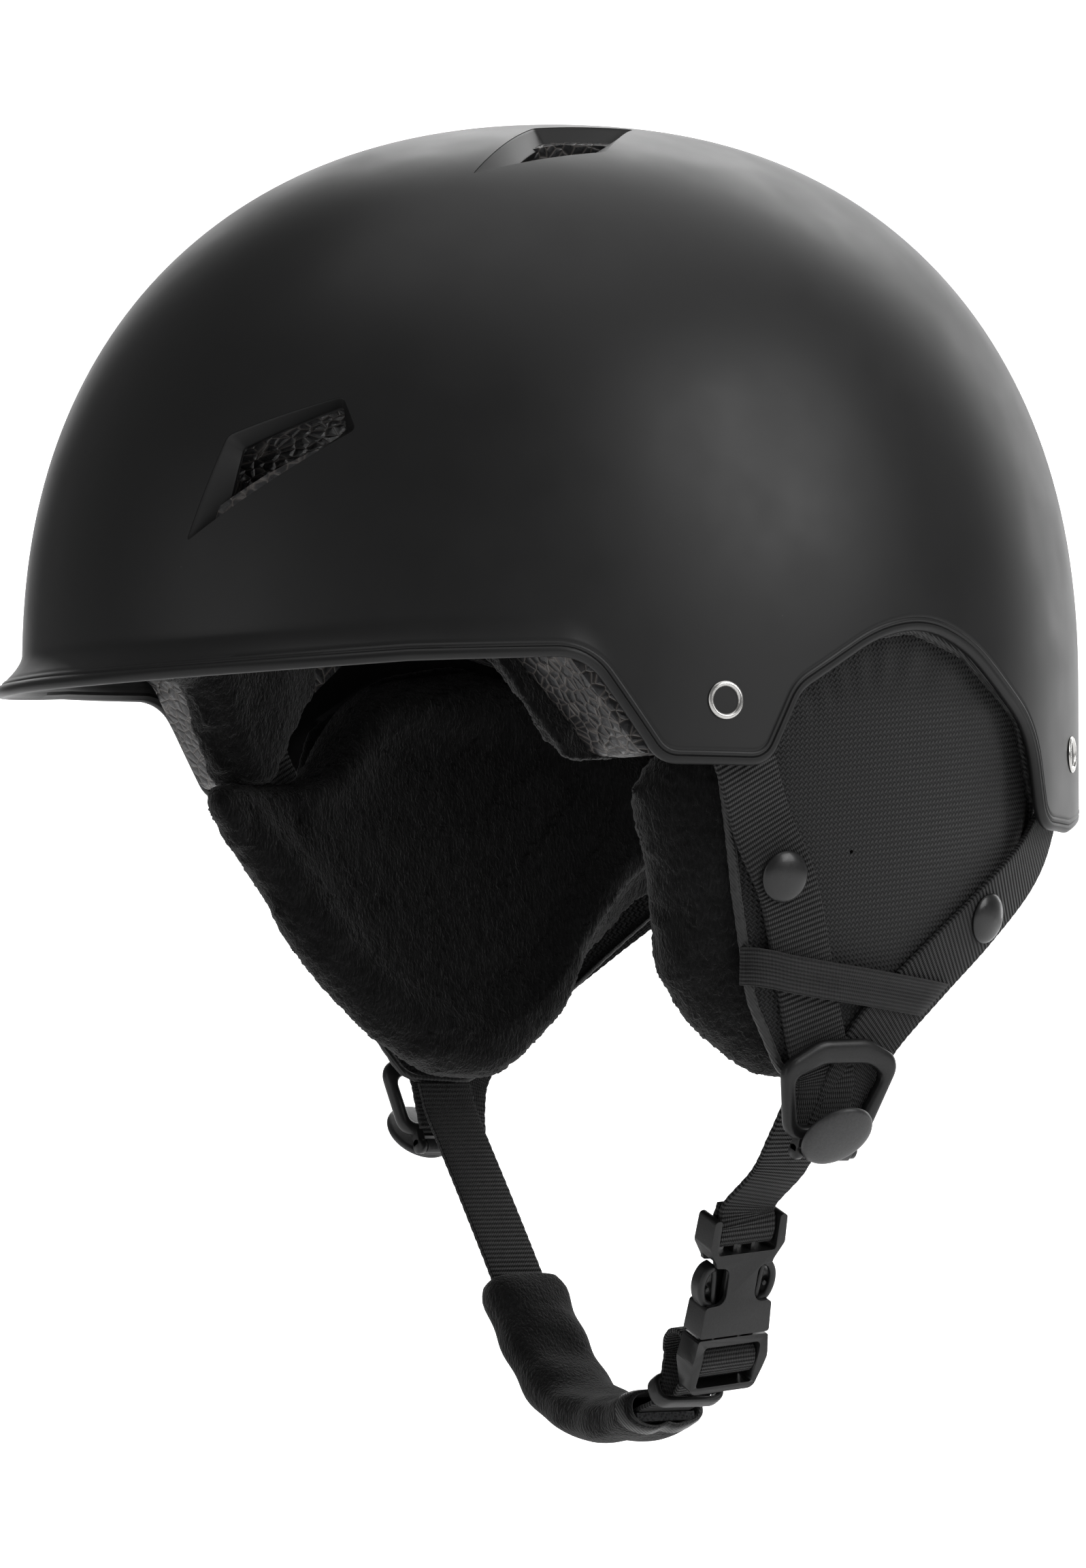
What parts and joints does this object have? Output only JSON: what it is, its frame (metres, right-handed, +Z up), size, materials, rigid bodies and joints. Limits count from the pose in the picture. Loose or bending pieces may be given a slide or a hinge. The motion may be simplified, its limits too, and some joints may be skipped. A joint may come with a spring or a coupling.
{
  "type": "ski helmet",
  "caption": "Hard-shell snow helmet with short brim, foam liner, plush ear pads and a webbing chin strap with side-release buckle.",
  "frame": {"origin": "centre of the head cavity at brow height, where a head sits", "axes": "+Z up to the crown, the wearer looks along -Y, +X is the wearer's left"},
  "size_m": [0.22, 0.2915, 0.3306],
  "materials": {
    "shell_plastic": "fine matte black moulded shell",
    "bead_foam": "dark grey expanded bead foam with glossy cells",
    "plush": "black short-pile plush",
    "hook_tape": "black hook-and-loop tape",
    "rivet_steel": "bright nickel-plated steel",
    "pin_steel": "plain steel pin",
    "ear_fabric": "black woven polyester",
    "satin_binding": "black satin binding tape over a cord",
    "soft_foam": "dark open-cell foam",
    "webbing": "black ribbed polyester webbing",
    "elastic": "black ribbed elastic",
    "moulded_plastic": "black acetal with a fine spark texture",
    "snap_lacquer": "satin black lacquered metal snap cap"
  },
  "bodies": {
    "helmet": {"brow_pad": "plush", "crown_pad": "plush", "foam_liner": "bead_foam", "front_rivets": "rivet_steel", "hook_patches": "hook_tape", "left_divider": "moulded_plastic", "left_ear_binding": "satin_binding", "left_ear_foam": "soft_foam", "left_ear_panel": "ear_fabric", "left_ear_plush": "plush", "left_elastic_band": "elastic", "left_front_strap": "webbing", "left_lock_pin": "pin_steel", "left_rear_strap": "webbing", "left_snap_caps": "snap_lacquer", "neck_roll": "plush", "outer_shell": "shell_plastic", "rear_pad": "plush", "rear_rivets": "rivet_steel", "right_divider": "moulded_plastic", "right_ear_binding": "satin_binding", "right_ear_foam": "soft_foam", "right_ear_panel": "ear_fabric", "right_ear_plush": "plush", "right_elastic_band": "elastic", "right_front_strap": "webbing", "right_lock_pin": "pin_steel", "right_rear_strap": "webbing", "right_snap_caps": "snap_lacquer", "rivet_washers": "rivet_steel"},
    "chin_loop": {"right_chin_strap": "webbing", "chin_webbing": "webbing", "chin_pad_cover": "plush", "chin_pad_foam": "soft_foam", "buckle_plug": "moulded_plastic", "buckle_prongs": "moulded_plastic", "strap_keeper": "moulded_plastic", "left_chin_strap": "webbing"},
    "buckle_socket_half": {"buckle_socket": "moulded_plastic"},
    "left_lock": {"left_lock_button": "moulded_plastic"},
    "right_lock": {"right_lock_button": "moulded_plastic"}
  },
  "joints": [
    {"name": "chin_loop_swing", "type": "hinge", "parent": "helmet", "child": "chin_loop", "pos_m": [0, 0.02, -0.106], "axis": [1, 0, 0], "range_deg": [-25, 25]},
    {"name": "buckle_release", "type": "slide", "parent": "chin_loop", "child": "buckle_socket_half", "axis": [0.3807, -0.0995, 0.9193], "range_m": [0, 0.022], "deforming": ["buckle_prongs", "left_chin_strap"]},
    {"name": "left_lock_open", "type": "hinge", "parent": "helmet", "child": "left_lock", "pos_m": [0.0832, 0.021, -0.1174], "axis": [0, 1, 0], "range_deg": [0, 80]},
    {"name": "right_lock_open", "type": "hinge", "parent": "helmet", "child": "right_lock", "pos_m": [-0.0832, 0.021, -0.1174], "axis": [0, -1, 0], "range_deg": [0, 80]}
  ]
}
